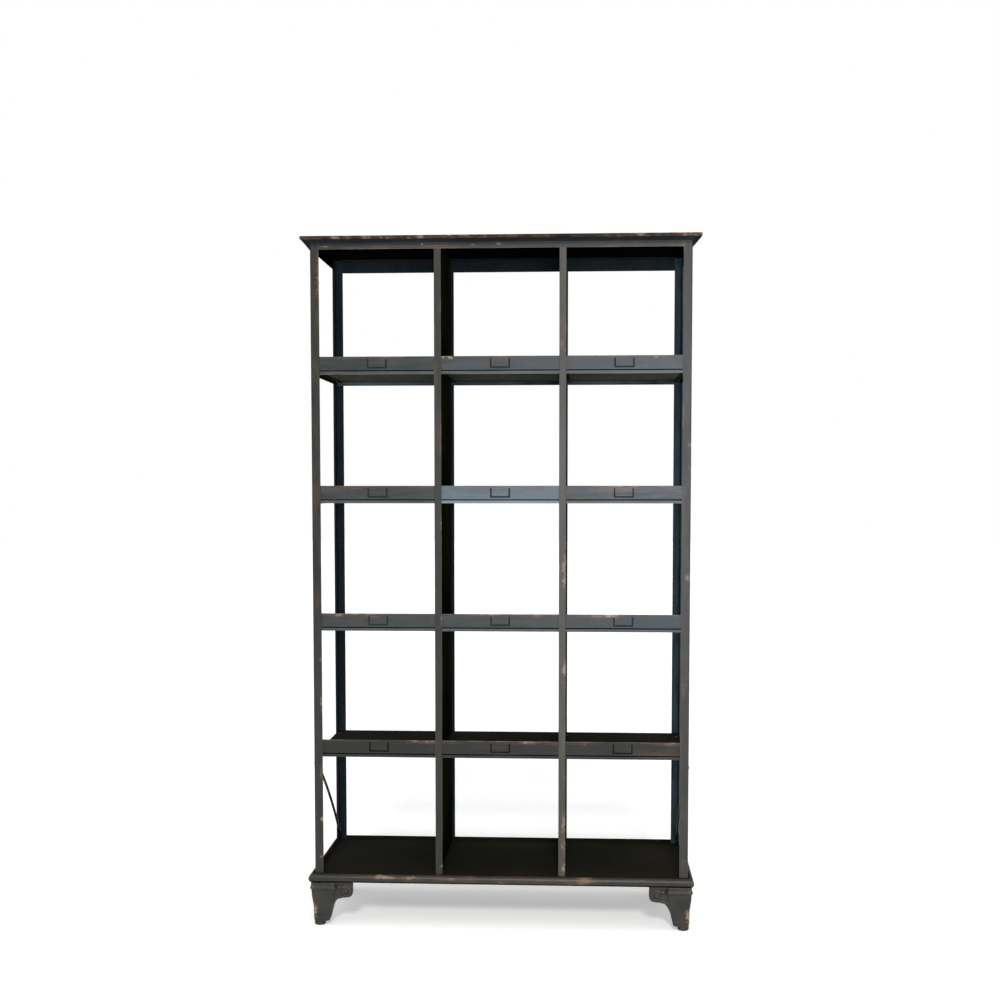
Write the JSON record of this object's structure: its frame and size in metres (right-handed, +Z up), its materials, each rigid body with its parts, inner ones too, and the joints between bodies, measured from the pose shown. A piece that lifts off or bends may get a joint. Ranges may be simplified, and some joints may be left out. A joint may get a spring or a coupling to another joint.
{
  "type": "metal shelf",
  "caption": "Tall open steel pigeon-hole shelf with lipped trays, label holders, sheet dividers, a corniced cap and cast scroll feet.",
  "frame": {"origin": "on the floor, under the middle of the whole object's box", "axes": "+X to the right seen from the front, +Y to the back, +Z up"},
  "size_m": [1.142, 0.425, 2.004],
  "materials": {
    "cap_paint": "satin enamel worn through along the edges",
    "frame_paint": "satin enamel rubbed brown on the corners",
    "panel_paint": "dark enamel, little worn",
    "shelf_paint": "blue grey satin enamel with scuffed lips",
    "holder_paint": "enamel rubbed to metal on the frame",
    "base_paint": "enamel worn through on the nosing",
    "foot_iron": "painted casting, brown on the high points",
    "rod_steel": "painted round bar",
    "fastener_steel": "dull oiled steel"
  },
  "bodies": {
    "root": {"back_left_foot": "foot_iron", "back_left_post": "frame_paint", "back_right_foot": "foot_iron", "back_right_post": "frame_paint", "back_shelf_bars_1": "shelf_paint", "back_shelf_bars_2": "shelf_paint", "back_shelf_bars_3": "shelf_paint", "back_shelf_bars_4": "shelf_paint", "back_top_rail": "frame_paint", "base_back_bar": "base_paint", "base_left_bar": "base_paint", "base_plate": "base_paint", "base_right_bar": "base_paint", "brace_rivets": "fastener_steel", "foot_studs": "fastener_steel", "front_cornice": "cap_paint", "front_left_foot": "foot_iron", "front_left_post": "frame_paint", "front_right_foot": "foot_iron", "front_right_post": "frame_paint", "front_shelf_bars_1": "shelf_paint", "front_shelf_bars_2": "shelf_paint", "front_shelf_bars_3": "shelf_paint", "front_shelf_bars_4": "shelf_paint", "front_top_rail": "frame_paint", "label_holders_1": "holder_paint", "label_holders_2": "holder_paint", "label_holders_3": "holder_paint", "label_holders_4": "holder_paint", "left_cap_bracket": "cap_paint", "left_divider_back_bar": "frame_paint", "left_divider_front_bar": "frame_paint", "left_divider_ledges": "panel_paint", "left_divider_panel": "panel_paint", "left_shelf_rails": "panel_paint", "left_side_brace": "rod_steel", "left_top_rail": "frame_paint", "right_cap_bracket": "cap_paint", "right_divider_back_bar": "frame_paint", "right_divider_front_bar": "frame_paint", "right_divider_ledges": "panel_paint", "right_divider_panel": "panel_paint", "right_shelf_rails": "panel_paint", "right_side_brace": "rod_steel", "right_top_rail": "frame_paint", "shelf_tray_1_left": "shelf_paint", "shelf_tray_1_middle": "shelf_paint", "shelf_tray_1_right": "shelf_paint", "shelf_tray_2_left": "shelf_paint", "shelf_tray_2_middle": "shelf_paint", "shelf_tray_2_right": "shelf_paint", "shelf_tray_3_left": "shelf_paint", "shelf_tray_3_middle": "shelf_paint", "shelf_tray_3_right": "shelf_paint", "shelf_tray_4_left": "shelf_paint", "shelf_tray_4_middle": "shelf_paint", "shelf_tray_4_right": "shelf_paint", "top_plate": "cap_paint", "tray_rivets": "fastener_steel"}
  },
  "joints": []
}
